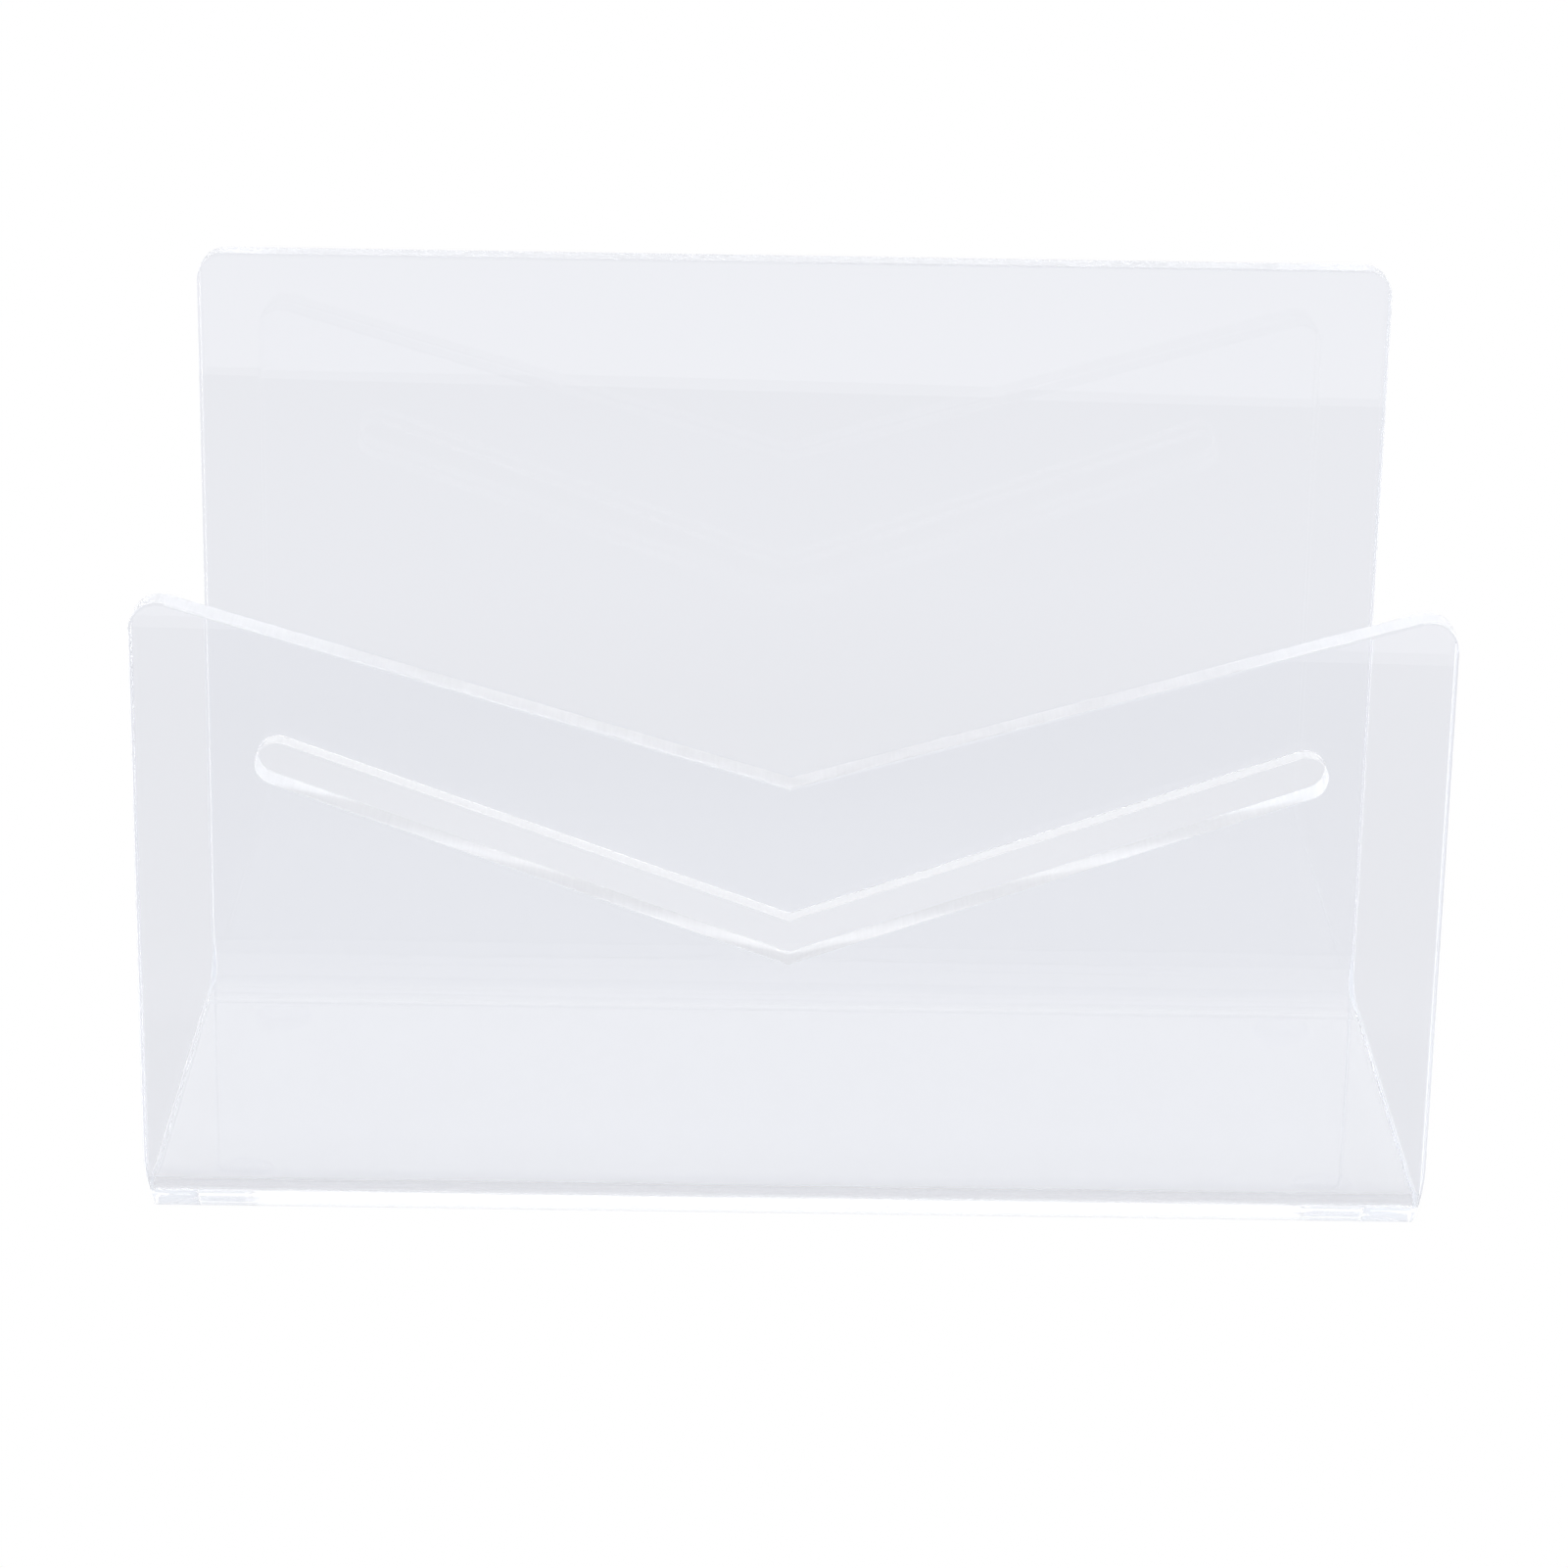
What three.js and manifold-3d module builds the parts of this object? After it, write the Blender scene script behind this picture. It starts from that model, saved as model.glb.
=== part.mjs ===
// A desk organizer for letters: one clear acrylic sheet, cut flat and then bent twice,
// so that a low front panel, a floor and a tall back panel make one open-sided channel.
// It stands on four clear stick-on bumpers.
// Millimetres. +Z is up, +X is to the right as seen from the front, and the front faces -Y.
// The origin is on the table, under the middle of the organizer.
import * as THREE from "three";
import { mergeVertices } from "three/addons/utils/BufferGeometryUtils.js";
import Module from "manifold-3d";

// The sheet and its two bends
const sheetThickness = 5;
const sheetWidth = 180;
const sheetDepth = 92.8; // from the front panel's outer face to the back panel's
const bendRadius = 4.4; // inside radius of both bends
const bendThinning = 0.66; // what the hot sheet loses of its thickness in the middle of a bend
const backHeight = 120.4; // from the sheet's underside to the back panel's top edge
const backCornerRadius = 4;

// The front panel's top edge, which falls in a wide V from the shoulders to the middle
const shoulderHeight = 93.6; // where the sloping edge would meet the side, above the underside
const notchDepth = 26.4; // from there down to the point of the V
const shoulderRadius = 4;

// The slot through the front panel, a V like an envelope's flap
const slotWidth = 6;
const slotMiddleHeight = 44.6; // of the slot's centre line in the middle, above the underside
const slotRise = 25; // from there up to the centre of each round end
const slotEndInset = 16.8; // from the panel's side to the slot's end

// The bumpers, which are low domes with a flat where they stand
const bumperDiameter = 9;
const bumperHeight = 2;
const bumperRim = 0.6; // straight part of the side, next to the adhesive
const bumperFlatDiameter = 4.4;
const bumperSideInset = 12.5; // from the sheet's side to the bumper's centre
const bumperBendClearance = 1; // from the end of the bend to the bumper's rim
const adhesiveThickness = 0.25;
const adhesiveMargin = 0.3; // the film ends this far inside the rim

// How finely round shapes are made: the most that a facet may leave the true curve
const chordError = 0.012;

// Both faces turn a quarter round, but not about one centre: where the sheet is thinner
// in the middle of the bend, the outer face has the larger radius that leaves it so.
const innerBendReach = sheetThickness + bendRadius; // from the outer face to the inner arc's centre
const outerBendRadius = innerBendReach + bendThinning / (Math.SQRT2 - 1);
const sheetUnderside = bumperHeight + adhesiveThickness;
const notchPointHeight = shoulderHeight - notchDepth;
const halfWidth = sheetWidth / 2;
const halfDepth = sheetDepth / 2;
const overcut = 2; // how far a cutting shape runs past what it cuts

const wasm = await Module();
wasm.setup();

// The number of facets that keeps an arc within the chord error.
function arcFacets(radius, angle) {
  const facetAngle = 2 * Math.acos(1 - chordError / radius);
  return Math.ceil(angle / facetAngle);
}

// An extrusion gives each arc of its outline two facets for each curve segment.
function curveSegments(radius, angle) {
  return Math.ceil(arcFacets(radius, angle) / 2);
}

// A closed geometry as a solid that can be cut and joined.
function solidFrom(geometry) {
  const bare = geometry.clone();
  bare.deleteAttribute("normal");
  bare.deleteAttribute("uv");
  const merged = mergeVertices(bare);
  return new wasm.Manifold(
    new wasm.Mesh({
      numProp: 3,
      vertProperties: merged.attributes.position.array,
      triVerts: new Uint32Array(merged.index.array),
    }),
  );
}

// A solid as a geometry, with flat faces shaded flat.
function geometryFrom(solid) {
  const mesh = solid.getMesh();
  const indexed = new THREE.BufferGeometry();
  indexed.setAttribute("position", new THREE.BufferAttribute(mesh.vertProperties, mesh.numProp));
  indexed.setIndex(new THREE.BufferAttribute(mesh.triVerts, 1));
  const geometry = indexed.toNonIndexed();
  geometry.computeVertexNormals();
  return geometry;
}

// An outline in y and z, drawn out along x across the whole width.
function extrudeAcross(outline, segments) {
  const geometry = new THREE.ExtrudeGeometry(outline, {
    depth: sheetWidth,
    bevelEnabled: false,
    curveSegments: segments,
  });
  const alongY = new THREE.Vector3(0, 1, 0);
  const alongZ = new THREE.Vector3(0, 0, 1);
  const alongX = new THREE.Vector3(1, 0, 0);
  geometry.applyMatrix4(new THREE.Matrix4().makeBasis(alongY, alongZ, alongX));
  geometry.translate(-halfWidth, 0, 0);
  return geometry;
}

// An outline in x and z, drawn out along y from the first depth to the second.
function extrudeThrough(outline, firstY, lastY, segments) {
  const geometry = new THREE.ExtrudeGeometry(outline, {
    depth: lastY - firstY,
    bevelEnabled: false,
    curveSegments: segments,
  });
  geometry.rotateX(Math.PI / 2);
  geometry.translate(0, lastY, 0);
  return geometry;
}

// The bent sheet seen from its side: the outer faces first, then back along the inner ones.
function sheetProfile() {
  const frontY = -halfDepth;
  const backY = halfDepth;
  const frontBendY = frontY + outerBendRadius;
  const backBendY = backY - outerBendRadius;
  const profile = new THREE.Shape();
  profile.moveTo(frontY, shoulderHeight);
  profile.lineTo(frontY, outerBendRadius);
  profile.absarc(frontBendY, outerBendRadius, outerBendRadius, Math.PI, 1.5 * Math.PI, false);
  profile.lineTo(backBendY, 0);
  profile.absarc(backBendY, outerBendRadius, outerBendRadius, 1.5 * Math.PI, 2 * Math.PI, false);
  profile.lineTo(backY, backHeight);
  profile.lineTo(backY - sheetThickness, backHeight);
  profile.lineTo(backY - sheetThickness, innerBendReach);
  profile.absarc(backY - innerBendReach, innerBendReach, bendRadius, 0, -0.5 * Math.PI, true);
  profile.lineTo(frontY + innerBendReach, sheetThickness);
  profile.absarc(frontY + innerBendReach, innerBendReach, bendRadius, 1.5 * Math.PI, Math.PI, true);
  profile.lineTo(frontY + sheetThickness, shoulderHeight);
  profile.closePath();
  return profile;
}

// The front panel seen from the front. It reaches below the floor, so it also holds the bend.
function frontOutline() {
  const slope = Math.atan2(notchDepth, halfWidth);
  const shoulderX = halfWidth - shoulderRadius;
  const edgeAboveShoulder = notchPointHeight + shoulderX * Math.tan(slope);
  const shoulderZ = edgeAboveShoulder - shoulderRadius / Math.cos(slope);
  const outline = new THREE.Shape();
  outline.moveTo(-halfWidth, -overcut);
  outline.lineTo(halfWidth, -overcut);
  outline.absarc(shoulderX, shoulderZ, shoulderRadius, 0, Math.PI / 2 + slope, false);
  outline.lineTo(0, notchPointHeight);
  outline.absarc(-shoulderX, shoulderZ, shoulderRadius, Math.PI / 2 - slope, Math.PI, false);
  outline.closePath();
  return outline;
}

// The back panel seen from the front, again down past the floor.
function backOutline() {
  const cornerX = halfWidth - backCornerRadius;
  const cornerZ = backHeight - backCornerRadius;
  const outline = new THREE.Shape();
  outline.moveTo(-halfWidth, -overcut);
  outline.lineTo(halfWidth, -overcut);
  outline.absarc(cornerX, cornerZ, backCornerRadius, 0, Math.PI / 2, false);
  outline.absarc(-cornerX, cornerZ, backCornerRadius, Math.PI / 2, Math.PI, false);
  outline.closePath();
  return outline;
}

// The slot's outline: two straight arms that meet in a sharp V, with round ends.
function slotOutline() {
  const endRadius = slotWidth / 2;
  const endX = halfWidth - slotEndInset - endRadius;
  const endZ = slotMiddleHeight + slotRise;
  const slope = Math.atan2(slotRise, endX);
  const halfHeight = endRadius / Math.cos(slope);
  const outline = new THREE.Shape();
  outline.absarc(endX, endZ, endRadius, slope - Math.PI / 2, slope + Math.PI / 2, false);
  outline.lineTo(0, slotMiddleHeight + halfHeight);
  outline.absarc(-endX, endZ, endRadius, Math.PI / 2 - slope, 1.5 * Math.PI - slope, false);
  outline.lineTo(0, slotMiddleHeight - halfHeight);
  outline.closePath();
  return outline;
}

// The sheet: the bent profile across the full width, trimmed to the two panels' outlines,
// with the slot cut through the front panel alone.
function bentSheetGeometry() {
  const quarterTurn = Math.PI / 2;
  const profile = extrudeAcross(sheetProfile(), curveSegments(outerBendRadius, quarterTurn));
  const front = extrudeThrough(
    frontOutline(),
    -halfDepth - overcut,
    overcut,
    curveSegments(shoulderRadius, quarterTurn),
  );
  const back = extrudeThrough(
    backOutline(),
    -overcut,
    halfDepth + overcut,
    curveSegments(backCornerRadius, quarterTurn),
  );
  const slot = extrudeThrough(
    slotOutline(),
    -halfDepth - overcut,
    -halfDepth + sheetThickness + overcut,
    curveSegments(slotWidth / 2, Math.PI),
  );
  const outlines = solidFrom(front).add(solidFrom(back));
  const trimmed = solidFrom(profile).intersect(outlines);
  return geometryFrom(trimmed.subtract(solidFrom(slot)));
}

// A profile in radius and height, turned about the upright axis.
function turned(points, radius) {
  const geometry = new THREE.LatheGeometry(points, arcFacets(radius, 2 * Math.PI));
  geometry.rotateX(Math.PI / 2);
  return geometry;
}

// A bumper from its flat foot up: a quarter of an ellipse out to the rim, then straight up.
function bumperGeometry() {
  const radius = bumperDiameter / 2;
  const flatRadius = bumperFlatDiameter / 2;
  const domeHeight = bumperHeight - bumperRim;
  const steps = arcFacets(radius - flatRadius, Math.PI / 2);
  const points = [new THREE.Vector2(0, 0)];
  for (let step = 0; step <= steps; step += 1) {
    const angle = ((step / steps) * Math.PI) / 2;
    const outward = flatRadius + (radius - flatRadius) * Math.sin(angle);
    const upward = domeHeight * (1 - Math.cos(angle));
    points.push(new THREE.Vector2(outward, upward));
  }
  points.push(new THREE.Vector2(radius, bumperHeight));
  points.push(new THREE.Vector2(0, bumperHeight));
  return turned(points, radius);
}

// The film of adhesive between a bumper and the sheet.
function adhesiveGeometry() {
  const radius = bumperDiameter / 2 - adhesiveMargin;
  const points = [
    new THREE.Vector2(0, bumperHeight),
    new THREE.Vector2(radius, bumperHeight),
    new THREE.Vector2(radius, sheetUnderside),
    new THREE.Vector2(0, sheetUnderside),
  ];
  return turned(points, radius);
}

const clearAcrylic = new THREE.MeshStandardMaterial({
  color: 0xe9eef4,
  roughness: 0.03,
  metalness: 0,
  transparent: true,
  opacity: 0.35,
});
const clearPolyurethane = new THREE.MeshStandardMaterial({
  color: 0xe6eaee,
  roughness: 0.25,
  metalness: 0,
  transparent: true,
  opacity: 0.55,
});
const clearAdhesive = new THREE.MeshStandardMaterial({
  color: 0xeceef0,
  roughness: 0.4,
  metalness: 0,
  transparent: true,
  opacity: 0.5,
});

function namedMesh(name, geometry, material) {
  const mesh = new THREE.Mesh(geometry, material);
  mesh.name = name;
  return mesh;
}

const organizer = new THREE.Group();

const sheet = namedMesh("bent_sheet", bentSheetGeometry(), clearAcrylic);
sheet.position.z = sheetUnderside;
organizer.add(sheet);

// The bumpers stand under the flat part of the floor, near its four corners.
const bumperX = halfWidth - bumperSideInset;
const bumperY = halfDepth - outerBendRadius - bumperBendClearance - bumperDiameter / 2;
const bumperShape = bumperGeometry();
const adhesiveShape = adhesiveGeometry();
for (const [end, endSign] of [["front", -1], ["rear", 1]]) {
  for (const [side, sideSign] of [["left", -1], ["right", 1]]) {
    const foot = new THREE.Group();
    foot.position.set(sideSign * bumperX, endSign * bumperY, 0);
    foot.add(namedMesh(`bumper_${end}_${side}`, bumperShape, clearPolyurethane));
    foot.add(namedMesh(`adhesive_${end}_${side}`, adhesiveShape, clearAdhesive));
    organizer.add(foot);
  }
}

export default organizer;
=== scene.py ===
import math

import bmesh
import bpy
from mathutils import Matrix, Vector


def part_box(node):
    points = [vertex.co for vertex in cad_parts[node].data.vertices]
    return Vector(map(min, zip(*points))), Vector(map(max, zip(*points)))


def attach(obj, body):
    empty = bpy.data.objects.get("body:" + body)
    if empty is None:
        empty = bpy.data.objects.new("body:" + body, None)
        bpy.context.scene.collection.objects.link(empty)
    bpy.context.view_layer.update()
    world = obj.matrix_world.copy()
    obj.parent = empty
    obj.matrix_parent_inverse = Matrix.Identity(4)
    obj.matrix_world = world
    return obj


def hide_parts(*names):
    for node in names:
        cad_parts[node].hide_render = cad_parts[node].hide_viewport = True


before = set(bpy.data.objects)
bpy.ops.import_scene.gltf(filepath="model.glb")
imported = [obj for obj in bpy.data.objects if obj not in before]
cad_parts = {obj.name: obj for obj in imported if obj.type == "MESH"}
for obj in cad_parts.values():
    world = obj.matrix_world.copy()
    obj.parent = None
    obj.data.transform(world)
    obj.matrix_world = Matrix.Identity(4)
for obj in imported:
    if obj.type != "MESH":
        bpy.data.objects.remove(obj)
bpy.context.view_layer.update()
scene = bpy.context.scene
print("frame loaded")

# Camera: stands a little above the organizer and looks down at its front

cameraSetup = {
    "place": (-0.0058, -0.6630, 0.2831),  # metres, in the frame's own axes
    "turn": 0.44,  # degrees to the right of straight ahead
    "tilt": -19.06,  # degrees, so it looks down
    "roll": 0.99,  # degrees, anticlockwise as the camera sees it
    "lens": 109.8,  # mm
    "sensor": 36,  # mm
    "clip": (0.01, 50),  # metres
}


def makeCamera(setup):
    data = bpy.data.cameras.new("camera")
    data.lens = setup["lens"]
    data.sensor_width = setup["sensor"]
    data.clip_start, data.clip_end = setup["clip"]
    camera = bpy.data.objects.new("camera", data)
    turn = Matrix.Rotation(math.radians(-setup["turn"]), 4, "Z")
    tilt = Matrix.Rotation(math.radians(90 + setup["tilt"]), 4, "X")
    roll = Matrix.Rotation(math.radians(setup["roll"]), 4, "Z")
    camera.matrix_world = Matrix.Translation(setup["place"]) @ turn @ tilt @ roll
    scene.collection.objects.link(camera)
    scene.camera = camera


makeCamera(cameraSetup)
print("camera set")

# Helpers for meshes

mergeDistance = 1e-7  # metres, under which two points are one


def allParts(bm):
    return bm.verts[:] + bm.edges[:] + bm.faces[:]


def onlyVerts(items):
    return [item for item in items if isinstance(item, bmesh.types.BMVert)]


def finishPiece(bm, name, materials):
    mesh = bpy.data.meshes.new(name)
    bm.to_mesh(mesh)
    bm.free()
    for material in materials:
        mesh.materials.append(material)
    for polygon in mesh.polygons:
        polygon.use_smooth = True
    piece = bpy.data.objects.new(name, mesh)
    scene.collection.objects.link(piece)
    return piece


# Helpers for node trees


def feed(links, socket, value):
    # The value is a number or another node's output
    if isinstance(value, bpy.types.NodeSocket):
        links.new(value, socket)
    else:
        socket.default_value = value


def addNode(nodes, kind, **inputs):
    node = nodes.new(kind)
    for key, value in inputs.items():
        node.inputs[key].default_value = value
    return node


def addMath(nodes, links, operation, *values):
    node = nodes.new("ShaderNodeMath")
    node.operation = operation
    for socket, value in zip(node.inputs, values):
        feed(links, socket, value)
    return node.outputs[0]


def addRange(nodes, links, value, target, source=(0, 1)):
    node = nodes.new("ShaderNodeMapRange")
    names = ("From Min", "From Max", "To Min", "To Max")
    for name, end in zip(names, (*source, *target)):
        node.inputs[name].default_value = end
    links.new(value, node.inputs["Value"])
    return node.outputs["Result"]


def addNoise(nodes, links, place, noise):
    node = addNode(nodes, "ShaderNodeTexNoise", **noise)
    links.new(place, node.inputs["Vector"])
    return node.outputs["Fac"]


def addBump(nodes, links, height, distance):
    node = addNode(nodes, "ShaderNodeBump", Strength=1, Distance=distance)
    links.new(height, node.inputs["Height"])
    return node


def addBlend(nodes, links, share, first, second):
    node = nodes.new("ShaderNodeMixShader")
    for socket, value in zip(node.inputs, (share, first.outputs[0], second.outputs[0])):
        feed(links, socket, value)
    return node.outputs[0]


def newMaterial(name):
    material = bpy.data.materials.new(name)
    material.use_nodes = True
    nodes = material.node_tree.nodes
    return material, nodes, material.node_tree.links, nodes["Principled BSDF"]


def newClearMaterial(name, look):
    material, nodes, links, shader = newMaterial(name)
    shader.inputs["Base Color"].default_value = (*look["color"], 1)
    shader.inputs["Transmission Weight"].default_value = 1
    shader.inputs["IOR"].default_value = look["ior"]
    return material, nodes, links, shader


# Acrylic: polished faces and the cut edge all round

acrylicLook = {
    "ior": 1.49,
    "color": (0.985, 0.99, 1.0),
    "bodyColor": (0.945, 0.948, 0.957),  # the tint that a long way inside gives
    "bodyDensity": 4.0,
    # polished faces: faint smears in the polish, and faces that are flat but for a slow wave
    "faceRoughness": (0.0, 0.012),
    "smear": {"Scale": 28, "Detail": 3, "Roughness": 0.55},
    "smearRange": (0.5, 0.8),  # the noise from which a smear starts and where it is full
    "wave": {"Scale": 14, "Detail": 1},
    "waveHeight": 0.00001,  # metres
    # bends: fine waves that run along them
    "bendLines": {"Scale": 850, "Detail": 2},
    "bendStretch": (0.035, 1, 1),  # draws the waves out across the sheet
    "bendHeight": 0.00002,
    "bendFade": (-0.001, 0.002),  # where they fade out, in metres past the end of the bend
    # cut edges: streaks through the thickness that the saw left and polishing blurred
    "cutRoughness": (0.04, 0.1),
    "cutFrost": (0.46, 0.52),  # share of the light that a cut face scatters
    "streaks": {"Scale": 2600, "Detail": 3},
    "streakStretch": (1, 1, 0.04),
    "streakHeight": 0.0000008,
    "frostColor": (0.985, 0.986, 0.993),
    # the sides and the front panel's top edge
    "dullFrost": 0.4,  # what they scatter beyond cutFrost
    "dipLine": 0.096,  # metres along the blank, between the top edge and the slot
    "dipSlope": 0.3,  # how steeply that line rises to the sides, as the top edge does
    "sideLine": 0.0893,  # metres from the middle, just inside the sides
    "sideFrost": (0.84, 0.86, 0.89),  # colour of the flat of the sides, which looks greyer
    "flankLine": 0.08997,  # metres from the middle, where that flat begins
}

# A Mix node's sockets for colours come after those for numbers and vectors
mixSockets = {"share": 0, "first": 6, "second": 7, "result": 2}


def tintInside(nodes, links, look):
    color = (*look["bodyColor"], 1)
    density = look["bodyDensity"]
    inside = addNode(nodes, "ShaderNodeVolumeAbsorption", Color=color, Density=density)
    links.new(inside.outputs[0], nodes["Material Output"].inputs["Volume"])


def readBlank(nodes, links, stretch):
    # Where each point lay on the flat blank: drawn out by stretch, and as plain x, y and z
    blank = nodes.new("ShaderNodeAttribute")
    blank.attribute_name = "blankPlace"
    drawn = addNode(nodes, "ShaderNodeMapping", Scale=stretch)
    parts = nodes.new("ShaderNodeSeparateXYZ")
    for node in (drawn, parts):
        links.new(blank.outputs["Vector"], node.inputs[0])
    return drawn.outputs["Vector"], parts.outputs


def makePolishedAcrylic(look, bend):
    material, nodes, links, shader = newClearMaterial("polishedAcrylic", look)
    place = nodes.new("ShaderNodeTexCoord").outputs["Object"]
    smear = addNoise(nodes, links, place, look["smear"])
    rough = addRange(nodes, links, smear, look["faceRoughness"], look["smearRange"])
    links.new(rough, shader.inputs["Roughness"])
    wave = addBump(nodes, links, addNoise(nodes, links, place, look["wave"]), look["waveHeight"])

    # Fine waves, only where the sheet was heated and bent
    drawn, parts = readBlank(nodes, links, look["bendStretch"])
    lines = addNoise(nodes, links, drawn, look["bendLines"])
    along = addMath(nodes, links, "ABSOLUTE", parts["Y"])
    middle = (bend["floorEnd"] + bend["panelStart"]) / 2
    away = addMath(nodes, links, "SUBTRACT", along, middle)
    distance = addMath(nodes, links, "ABSOLUTE", away)
    fade = [bend["length"] / 2 + past for past in look["bendFade"]]
    heated = addRange(nodes, links, distance, (1, 0), fade)
    height = addMath(nodes, links, "MULTIPLY", lines, heated)
    ripple = addBump(nodes, links, height, look["bendHeight"])
    links.new(wave.outputs["Normal"], ripple.inputs["Normal"])
    links.new(ripple.outputs["Normal"], shader.inputs["Normal"])
    tintInside(nodes, links, look)
    return material


def makeCutAcrylic(look):
    material, nodes, links, shader = newClearMaterial("cutAcrylic", look)
    drawn, parts = readBlank(nodes, links, look["streakStretch"])
    streaks = addNoise(nodes, links, drawn, look["streaks"])
    rough = addRange(nodes, links, streaks, look["cutRoughness"])
    links.new(rough, shader.inputs["Roughness"])
    bump = addBump(nodes, links, streaks, look["streakHeight"])
    links.new(bump.outputs["Normal"], shader.inputs["Normal"])

    # The sides and the front panel's top edge are the dullest. That edge is all that lies
    # beyond a line which dips as it does
    across = addMath(nodes, links, "ABSOLUTE", parts["X"])
    beyond = addMath(nodes, links, "MULTIPLY_ADD", across, look["dipSlope"], parts["Y"])
    dip = addMath(nodes, links, "LESS_THAN", beyond, -look["dipLine"])
    side = addMath(nodes, links, "GREATER_THAN", across, look["sideLine"])
    dull = addMath(nodes, links, "MAXIMUM", dip, side)
    share = addRange(nodes, links, streaks, look["cutFrost"])
    total = addMath(nodes, links, "MULTIPLY_ADD", dull, look["dullFrost"], share)

    flank = addMath(nodes, links, "GREATER_THAN", across, look["flankLine"])
    tint = nodes.new("ShaderNodeMix")
    tint.data_type = "RGBA"
    links.new(flank, tint.inputs[mixSockets["share"]])
    tint.inputs[mixSockets["first"]].default_value = (*look["frostColor"], 1)
    tint.inputs[mixSockets["second"]].default_value = (*look["sideFrost"], 1)
    frost = nodes.new("ShaderNodeBsdfTranslucent")
    links.new(tint.outputs[mixSockets["result"]], frost.inputs["Color"])
    blend = addBlend(nodes, links, total, shader, frost)
    links.new(blend, nodes["Material Output"].inputs["Surface"])
    tintInside(nodes, links, look)
    return material


# The sheet: cut flat, given its thickness, then bent over two lines

sheetSize = {
    "thickness": 0.005,
    "bendRadius": 0.0044,  # of the inside face
    "bendThinning": 0.00066,  # what the sheet loses in the middle of a bend
    "bendRunOut": 0.0015,  # from the end of the outer arc to the first line across the flat
    "bendPinch": 0.0006,  # how far the stretched outer face draws in at its ends
    "backCorner": 0.004,
    "shoulderCorner": 0.004,
    "shoulderHeight": 0.0936,  # where the slope would meet the side, above the underside
    "notchDepth": 0.0264,
    "slotWidth": 0.006,
    "slotMiddle": 0.0446,  # height of its centre line above the underside
    "slotRise": 0.025,
    "slotInset": 0.0168,  # from the panel's side to the slot's end
    "edgeRound": 0.00042,  # along the outline, where polishing has softened the cut edges
    "slotRound": 0.00012,  # along the slot, which polishing hardly reaches
    "edgeSteps": 3,
    "bendSteps": 64,
    "arcSteps": 16,
    "sharpAngle": 50,  # degrees, from which an edge is shaded sharp
    "flatWeight": 100,  # how much the flat faces rule the shading beside them
}


def addArc(bm, centre, radius, start, sweep, steps):
    # A run of points and edges round a centre, made by turning one point
    spot = (centre[0] + radius * math.cos(start), centre[1] + radius * math.sin(start), 0)
    first = bm.verts.new(Vector(spot))
    turned = bmesh.ops.spin(
        bm,
        geom=[first],
        cent=(*centre, 0),
        axis=(0, 0, 1),
        angle=sweep,
        steps=steps,
        use_duplicate=False,
    )
    return first, onlyVerts(turned["geom_last"])[0]


def faceSpot(share, reach, inset, radius):
    # Along one face of a bend: a short flat, the arc, a short flat. Gives how far the spot
    # lies in from the panel's outer face and up from the floor's underside
    flat = reach - inset - radius
    arc = math.pi / 2 * radius
    gone = share * (2 * flat + arc)
    if gone < flat:
        return Vector((reach - gone, inset))
    if gone > flat + arc:
        return Vector((inset, reach - 2 * flat - arc + gone))
    angle = (gone - flat) / radius
    inwards = inset + radius * (1 - math.sin(angle))
    upwards = inset + radius * (1 - math.cos(angle))
    return Vector((inwards, upwards))


def planBend(size, halfDepth):
    # The two faces turn about centres of their own, so the sheet is thinner in the middle
    thickness, inner = size["thickness"], size["bendRadius"]
    outer = thickness + inner + size["bendThinning"] / (math.sqrt(2) - 1)
    reach = outer + size["bendRunOut"]
    flats = (reach - outer) + (reach - thickness - inner)
    length = flats + (outer + inner) * math.pi / 4  # halfway between the two faces
    return {
        "inner": inner,
        "outer": outer,
        "reach": reach,
        "length": length,
        "floorEnd": halfDepth - reach,
        "panelStart": halfDepth - reach + length,
    }


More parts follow.
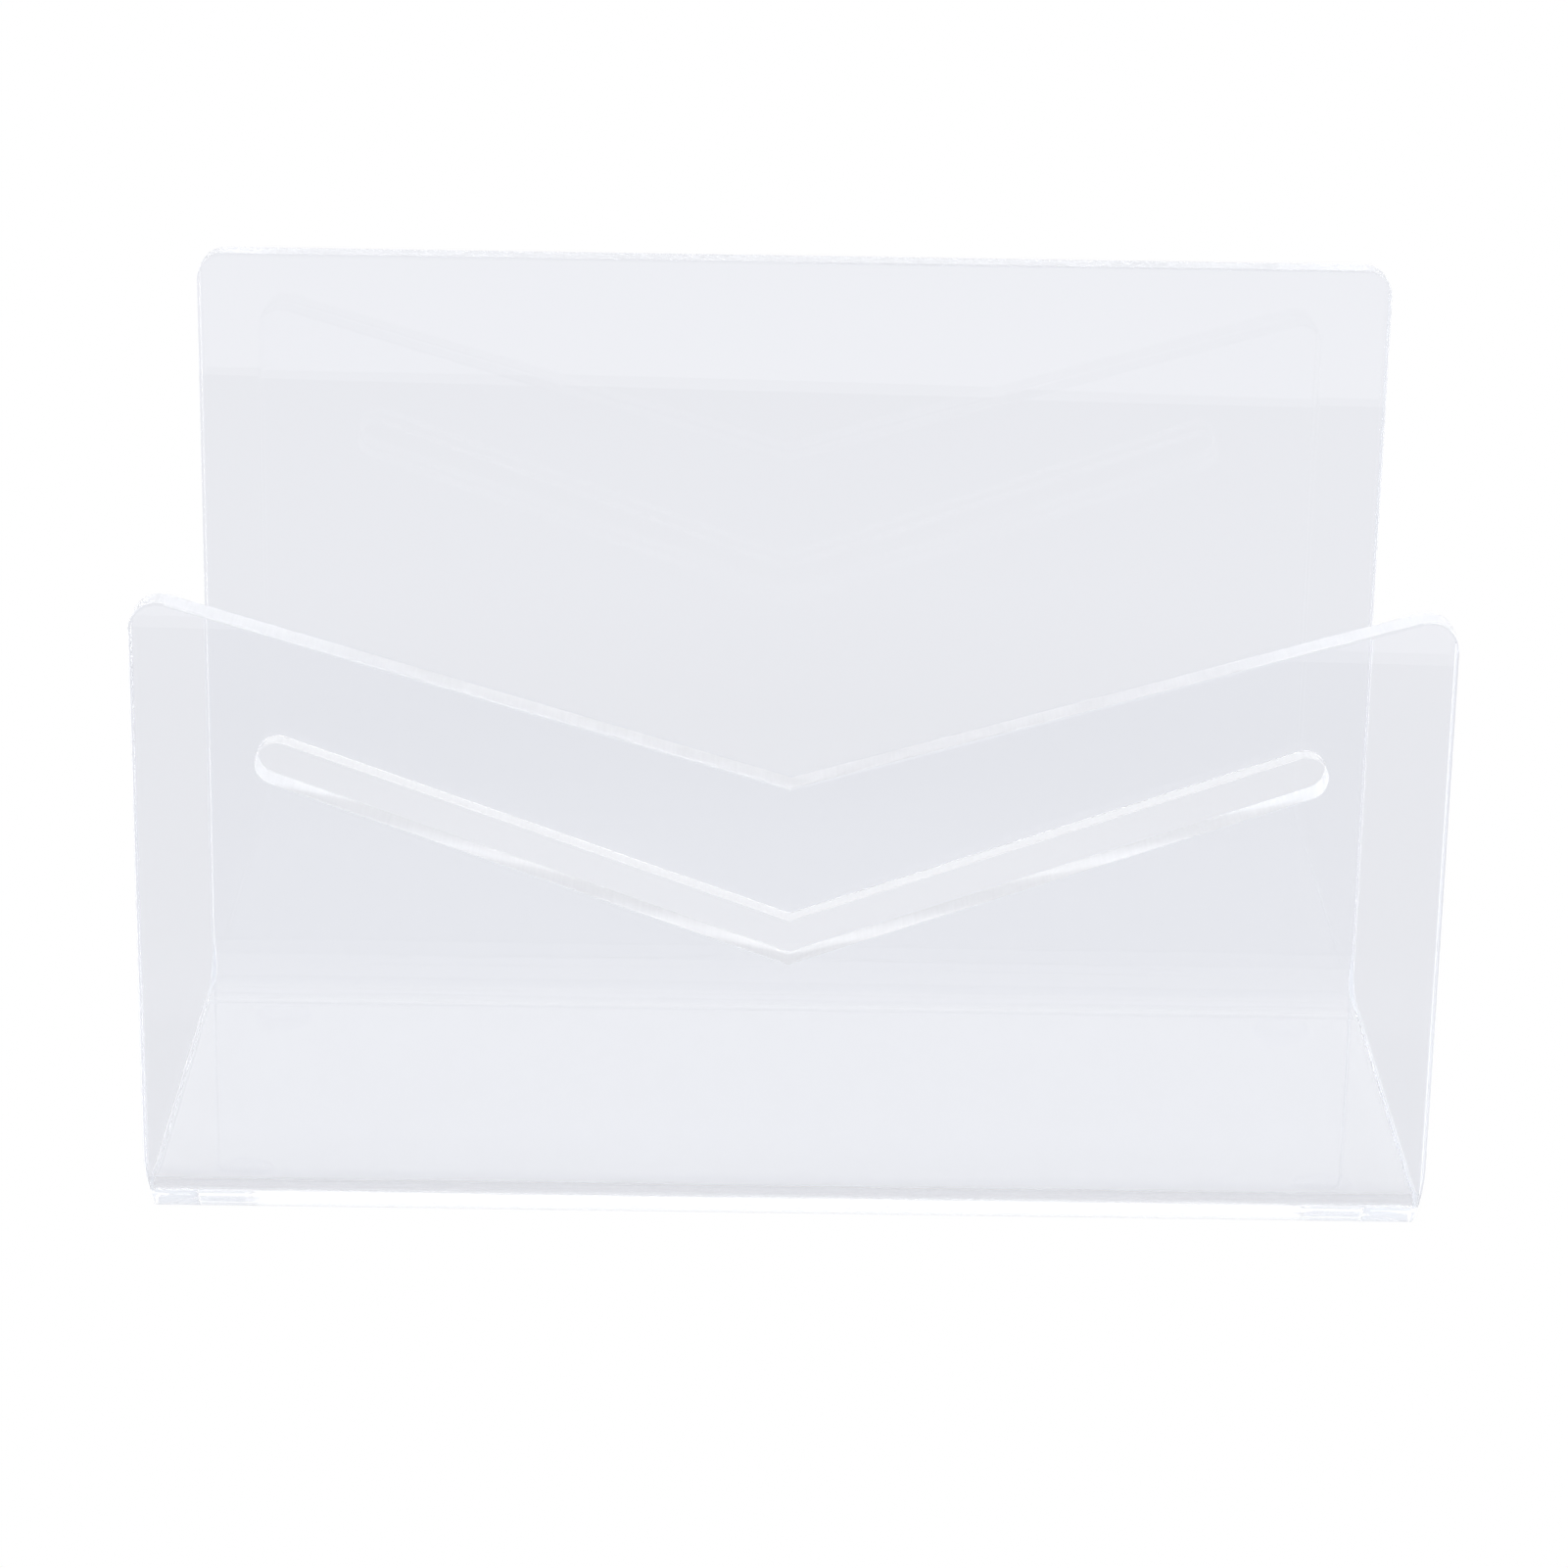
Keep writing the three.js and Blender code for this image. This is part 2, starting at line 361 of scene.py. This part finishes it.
def makeBlank(size, bend, halfWidth, height):
    # The flat sheet: x runs across it, y along it from the front panel's edge to the back
    # panel's. Its right half is drawn, and then mirrored

    def backAt(z):
        return bend["panelStart"] + z - bend["reach"]

    def frontAt(z):
        return -backAt(z)

    bm = bmesh.new()
    quarter = math.pi / 2
    steps = size["arcSteps"]

    corner = size["backCorner"]
    backCentre = (halfWidth - corner, backAt(height - corner))
    backStart, backEnd = addArc(bm, backCentre, corner, 0, quarter, steps)

    corner = size["shoulderCorner"]
    slope = math.atan2(size["notchDepth"], halfWidth)
    notch = size["shoulderHeight"] - size["notchDepth"]
    shoulderX = halfWidth - corner
    shoulderZ = notch + shoulderX * math.tan(slope) - corner / math.cos(slope)
    shoulderCentre = (shoulderX, frontAt(shoulderZ))
    sweep = -(quarter + slope)
    shoulderStart, shoulderEnd = addArc(bm, shoulderCentre, corner, 0, sweep, steps)
    bm.edges.new((shoulderStart, backStart))

    halfSlot = size["slotWidth"] / 2
    endX = halfWidth - size["slotInset"] - halfSlot
    endCentre = (endX, frontAt(size["slotMiddle"] + size["slotRise"]))
    slotSlope = math.atan2(size["slotRise"], endX)
    halfHeight = halfSlot / math.cos(slotSlope)
    start = quarter - slotSlope
    slotStart, slotEnd = addArc(bm, endCentre, halfSlot, start, -math.pi, 2 * steps)

    middle = [
        bm.verts.new((0, backAt(height), 0)),
        bm.verts.new((0, frontAt(size["slotMiddle"] - halfHeight), 0)),
        bm.verts.new((0, frontAt(size["slotMiddle"] + halfHeight), 0)),
        bm.verts.new((0, frontAt(notch), 0)),
    ]
    for ends in (
        (backEnd, middle[0]),
        (middle[0], middle[1]),
        (middle[1], slotStart),
        (slotEnd, middle[2]),
        (middle[2], middle[3]),
        (middle[3], shoulderEnd),
    ):
        bm.edges.new(ends)
    bmesh.ops.contextual_create(bm, geom=bm.edges[:])

    # Lines across the sheet where it will bend
    for side in (-1, 1):
        for step in range(size["bendSteps"] + 1):
            along = side * (bend["floorEnd"] + bend["length"] * step / size["bendSteps"])
            bmesh.ops.bisect_plane(
                bm, geom=allParts(bm), plane_co=(0, along, 0), plane_no=(0, 1, 0)
            )
    bmesh.ops.mirror(
        bm,
        geom=allParts(bm),
        matrix=Matrix.Identity(4),
        merge_dist=mergeDistance,
        axis="X",
    )
    bmesh.ops.recalc_face_normals(bm, faces=bm.faces[:])
    return bm


def bendBlank(bm, size, bend, low, high):
    # Height on the blank is measured from the face that ends up outside
    thickness = size["thickness"]
    layer = bm.verts.layers.float_vector.new("blankPlace")
    for vert in bm.verts:
        vert[layer] = vert.co.copy()
        x, along, inward = vert.co
        side = 1 if along > 0 else -1
        along = abs(along)
        if along <= bend["floorEnd"]:
            spot = Vector((high.y - along, inward))
        elif along >= bend["panelStart"]:
            spot = Vector((inward, bend["reach"] + along - bend["panelStart"]))
        else:
            share = (along - bend["floorEnd"]) / bend["length"]
            outside = faceSpot(share, bend["reach"], 0, bend["outer"])
            inside = faceSpot(share, bend["reach"], thickness, bend["inner"])
            spot = outside.lerp(inside, inward / thickness)
            if abs(x) > high.x - 2 * size["edgeRound"]:
                drawn = size["bendPinch"] * (1 - inward / thickness)
                x -= math.copysign(drawn * math.sin(math.pi * share) ** 2, x)
        vert.co = Vector((x, side * (high.y - spot.x), low.z + spot.y))


def isSlotRim(edge, size, bend, halfWidth):
    # On the flat blank: inside the front panel, well below its top edge and clear of its sides
    middle = (edge.verts[0].co + edge.verts[1].co) / 2
    height = bend["reach"] - bend["panelStart"] - middle.y
    topEdge = size["shoulderHeight"] - size["notchDepth"] * (1 - abs(middle.x) / halfWidth)
    inside = abs(middle.x) < halfWidth - size["slotInset"] / 2
    return inside and 0 < height < topEdge - size["slotWidth"]


def makeSheet(size, bend, faceMaterial, cutMaterial):
    low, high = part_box("bent_sheet")
    bm = makeBlank(size, bend, high.x, high.z - low.z)
    grown = bmesh.ops.extrude_face_region(bm, geom=bm.faces[:])
    lifted = onlyVerts(grown["geom"])
    bmesh.ops.translate(bm, verts=lifted, vec=(0, 0, size["thickness"]))
    bmesh.ops.recalc_face_normals(bm, faces=bm.faces[:])
    for face in bm.faces:
        face.material_index = 1 - round(abs(face.normal.z))  # 0 on both faces, 1 on the cut
    rims = [
        edge
        for edge in bm.edges
        if len(edge.link_faces) == 2
        and edge.link_faces[0].material_index != edge.link_faces[1].material_index
    ]
    slotRims = [edge for edge in rims if isSlotRim(edge, size, bend, high.x)]
    outlineRims = [edge for edge in rims if edge not in slotRims]
    for edges, roundness in ((slotRims, size["slotRound"]), (outlineRims, size["edgeRound"])):
        bmesh.ops.bevel(
            bm,
            geom=edges,
            offset=roundness,
            segments=size["edgeSteps"],
            profile=0.5,
            affect="EDGES",
            material=-1,
        )
    bendBlank(bm, size, bend, low, high)
    bmesh.ops.recalc_face_normals(bm, faces=bm.faces[:])
    piece = finishPiece(bm, "bentSheet", [faceMaterial, cutMaterial])
    piece.data.set_sharp_from_angle(angle=math.radians(size["sharpAngle"]))
    weighted = piece.modifiers.new("flatFaces", "WEIGHTED_NORMAL")
    weighted.keep_sharp = True
    weighted.weight = size["flatWeight"]
    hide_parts("bent_sheet")
    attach(piece, "root")


bendPlan = planBend(sheetSize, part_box("bent_sheet")[1].y)
polishedAcrylic = makePolishedAcrylic(acrylicLook, bendPlan)
cutAcrylic = makeCutAcrylic(acrylicLook)
makeSheet(sheetSize, bendPlan, polishedAcrylic, cutAcrylic)
print("sheet made")

# Bumpers: soft clear domes, each on its film of adhesive

bumperSize = {
    "flat": 0.0022,  # radius of the part that stands on the desk
    "rim": 0.0006,  # height of the straight side
    "rimRound": 0.0003,
    "rimMiddle": 0.3,  # how far in from its corner the middle of that round lies, as a share
    "domeSteps": 14,
    "turnSteps": 64,
    "filmGap": 0.00002,  # keeps the film's faces off its neighbours' faces
    "sharpAngle": 40,  # degrees, from which an edge is shaded sharp
}

bumperLook = {
    "ior": 1.3,
    "clearness": 0.985,  # share of the light that goes straight through
    "color": (0.998, 0.998, 1.0),
    "roughness": (0.03, 0.12),
    "skin": {"Scale": 900, "Detail": 3},
    "skinHeight": 0.000004,
}

filmLook = {
    "ior": 1.2,
    "clearness": 0.99,
    "color": (0.999, 0.999, 1.0),
    "roughness": (0.1, 0.25),
    "skin": {"Scale": 1400, "Detail": 3},
    "skinHeight": 0.000006,
}


def makeClearSoft(name, look):
    material, nodes, links, shader = newClearMaterial(name, look)
    place = nodes.new("ShaderNodeTexCoord").outputs["Object"]
    skin = addNoise(nodes, links, place, look["skin"])
    links.new(addRange(nodes, links, skin, look["roughness"]), shader.inputs["Roughness"])
    bump = addBump(nodes, links, skin, look["skinHeight"])
    links.new(bump.outputs["Normal"], shader.inputs["Normal"])
    through = addNode(nodes, "ShaderNodeBsdfTransparent", Color=(*look["color"], 1))
    blend = addBlend(nodes, links, look["clearness"], shader, through)
    links.new(blend, nodes["Material Output"].inputs["Surface"])
    return material


def turnProfile(points, place, steps):
    # A row of (radius, height) points, spun once round an upright axis
    bm = bmesh.new()
    verts = [bm.verts.new((radius, 0, height)) for radius, height in points]
    for first, second in zip(verts, verts[1:]):
        bm.edges.new((first, second))
    bmesh.ops.spin(
        bm,
        geom=bm.verts[:] + bm.edges[:],
        cent=(0, 0, 0),
        axis=(0, 0, 1),
        angle=2 * math.pi,
        steps=steps,
        use_merge=True,
        use_duplicate=False,
    )
    bmesh.ops.remove_doubles(bm, verts=bm.verts[:], dist=mergeDistance)
    bmesh.ops.recalc_face_normals(bm, faces=bm.faces[:])
    bmesh.ops.translate(bm, verts=bm.verts[:], vec=place)
    return bm


def makeBumper(size, corner, material, filmMaterial):
    low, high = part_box("bumper_" + corner)
    filmLow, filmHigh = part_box("adhesive_" + corner)
    centre = Vector(((low.x + high.x) / 2, (low.y + high.y) / 2, low.z))
    sharpAngle = math.radians(size["sharpAngle"])
    end, side = corner.split("_")
    name = end + side.capitalize()

    radius = (high.x - low.x) / 2
    top = high.z - low.z
    rimRound = size["rimRound"]
    points = [(0, 0)]
    for step in range(size["domeSteps"] + 1):
        angle = math.pi / 2 * step / size["domeSteps"]
        outward = size["flat"] + (radius - size["flat"]) * math.sin(angle)
        points.append((outward, (top - size["rim"]) * (1 - math.cos(angle))))
    points.append((radius, top - rimRound))
    points.append((radius - rimRound * size["rimMiddle"], top - rimRound * size["rimMiddle"]))
    points.append((radius - rimRound, top))
    points.append((0, top))
    bm = turnProfile(points, centre, size["turnSteps"])
    bumper = finishPiece(bm, name + "Bumper", [material])
    bumper.data.set_sharp_from_angle(angle=sharpAngle)
    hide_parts("bumper_" + corner)
    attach(bumper, "root")

    filmRadius = (filmHigh.x - filmLow.x) / 2
    bottom = filmLow.z - low.z + size["filmGap"]
    lid = filmHigh.z - low.z - size["filmGap"]
    points = [(0, bottom), (filmRadius, bottom), (filmRadius, lid), (0, lid)]
    bm = turnProfile(points, centre, size["turnSteps"])
    film = finishPiece(bm, name + "Film", [filmMaterial])
    film.data.set_sharp_from_angle(angle=sharpAngle)
    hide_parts("adhesive_" + corner)
    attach(film, "root")


clearPolyurethane = makeClearSoft("clearPolyurethane", bumperLook)
clearFilm = makeClearSoft("clearFilm", filmLook)
for corner in ("front_left", "front_right", "rear_left", "rear_right"):
    makeBumper(bumperSize, corner, clearPolyurethane, clearFilm)
print("bumpers made")

# Studio: a pale floor that runs off into plain white, under soft light

studioSetup = {
    "floorHalf": 4.0,
    "floorDrop": 0.0002,  # keeps the bumpers' flats just off the floor
    "floorColor": (0.12, 0.121, 0.124),
    "floorGlow": (0.665, 0.67, 0.698),  # an even glow, so that the object casts hardly any shade
    # the floor's glow from front to back, with painted shade: darker in front of the object, a
    # painted contact shadow under its front bend, and a little painted light towards the back.
    # Metres from the middle, and share of the full glow
    "glowWithPaintedShade": (
        (-0.1, 0.705),
        (-0.075, 0.78),
        (-0.06, 0.88),
        (-0.05, 0.84),
        (-0.035, 0.93),
        (-0.01, 1.008),
        (0.046, 1.015),
        (0.08, 1.0),
        (0.2, 1.0),
        (0.28, 1.027),
    ),
    "glowScale": 2,  # a ramp's colours end at one, so it holds the shares divided by this
    "white": 1.0,
    "air": 1.12,  # how bright the object finds the white round it
    # name: place, size and brightness of each soft light, all turned to the organizer
    "lights": {
        "leftLight": ((-1.1, 0.3, 0.55), (1.0, 0.9), 1.2),
        "rightLight": ((1.1, 0.3, 0.55), (1.0, 0.9), 1.6),
    },
    "lightWatts": 4,  # for each square metre of a light and each unit of brightness
    # a soft light that lies in front, whose far edge shows in both panels
    "frontCard": {
        "edge": -0.212,
        "height": 0.038,
        "size": (2.0, 0.6),
        "turn": 2.9,  # degrees
        "brightness": 0.48,
    },
    "bounces": 128,  # how often light may turn, which it does many times inside the sheet
}


def addSoftLight(name, place, size, brightness, watts):
    data = bpy.data.lights.new(name, "AREA")
    data.shape = "RECTANGLE"
    data.size, data.size_y = size
    data.energy = watts * size[0] * size[1] * brightness
    light = bpy.data.objects.new(name, data)
    light.location = place
    light.rotation_euler = (-Vector(place)).to_track_quat("-Z", "Y").to_euler()
    light.visible_camera = False
    scene.collection.objects.link(light)
    return light


plainWhite = (1, 1, 1, 1)


def makeAir(setup):
    # Plain white to the camera, and as bright as "air" says to the object
    world = bpy.data.worlds.new("studio")
    world.use_nodes = True
    scene.world = world
    nodes, links = world.node_tree.nodes, world.node_tree.links
    nodes.clear()
    seen = addNode(nodes, "ShaderNodeBackground", Color=plainWhite, Strength=setup["white"])
    lit = addNode(nodes, "ShaderNodeBackground", Color=plainWhite, Strength=setup["air"])
    toCamera = nodes.new("ShaderNodeLightPath").outputs["Is Camera Ray"]
    out = nodes.new("ShaderNodeOutputWorld")
    links.new(addBlend(nodes, links, toCamera, lit, seen), out.inputs["Surface"])


def makeFloor(setup):
    # Plain white to the camera, and softly glowing to the object, with painted shade in front of
    # it and under its front bend
    material, nodes, links, shader = newMaterial("paleFloor")
    place = nodes.new("ShaderNodeTexCoord")
    parts = nodes.new("ShaderNodeSeparateXYZ")
    links.new(place.outputs["Object"], parts.inputs[0])
    glow = setup["glowWithPaintedShade"]
    front, back = glow[0][0], glow[-1][0]
    # the ramp paints shade into the glow: darker in front of the object and under its front
    # bend, a little lighter towards the back
    ramp = nodes.new("ShaderNodeValToRGB")
    reach = addRange(nodes, links, parts.outputs["Y"], (0, 1), (front, back))
    links.new(reach, ramp.inputs["Fac"])
    while len(ramp.color_ramp.elements) < len(glow):
        ramp.color_ramp.elements.new(0.5)  # its place is set below
    for element, (along, share) in zip(ramp.color_ramp.elements, glow):
        level = share / setup["glowScale"]
        element.position = (along - front) / (back - front)
        element.color = (level, level, level, 1)
    strength = addMath(nodes, links, "MULTIPLY", ramp.outputs["Color"], setup["glowScale"])
    links.new(strength, shader.inputs["Emission Strength"])
    shader.inputs["Emission Color"].default_value = (*setup["floorGlow"], 1)
    shader.inputs["Base Color"].default_value = (*setup["floorColor"], 1)
    shader.inputs["Roughness"].default_value = 1
    shader.inputs["Specular IOR Level"].default_value = 0
    seen = addNode(nodes, "ShaderNodeEmission", Color=plainWhite, Strength=setup["white"])
    toCamera = nodes.new("ShaderNodeLightPath").outputs["Is Camera Ray"]
    blend = addBlend(nodes, links, toCamera, shader, seen)
    links.new(blend, nodes["Material Output"].inputs["Surface"])

    bm = bmesh.new()
    bmesh.ops.create_grid(bm, x_segments=1, y_segments=1, size=setup["floorHalf"])
    bmesh.ops.translate(bm, verts=bm.verts[:], vec=(0, 0, -setup["floorDrop"]))
    floor = finishPiece(bm, "floor", [material])


def makeLights(setup):
    watts = setup["lightWatts"]
    for name, (place, size, brightness) in setup["lights"].items():
        addSoftLight(name, place, size, brightness, watts)
    card = setup["frontCard"]
    place = (0, card["edge"] - card["size"][1] / 2, card["height"])
    light = addSoftLight("frontCard", place, card["size"], card["brightness"], watts)
    light.rotation_euler = (math.pi, 0, math.radians(card["turn"]))


makeAir(studioSetup)
makeFloor(studioSetup)
makeLights(studioSetup)
scene.view_settings.view_transform = "Standard"
scene.cycles.max_bounces = studioSetup["bounces"]
scene.cycles.transmission_bounces = studioSetup["bounces"]
scene.cycles.glossy_bounces = studioSetup["bounces"]
scene.cycles.blur_glossy = 0
print("studio lit")
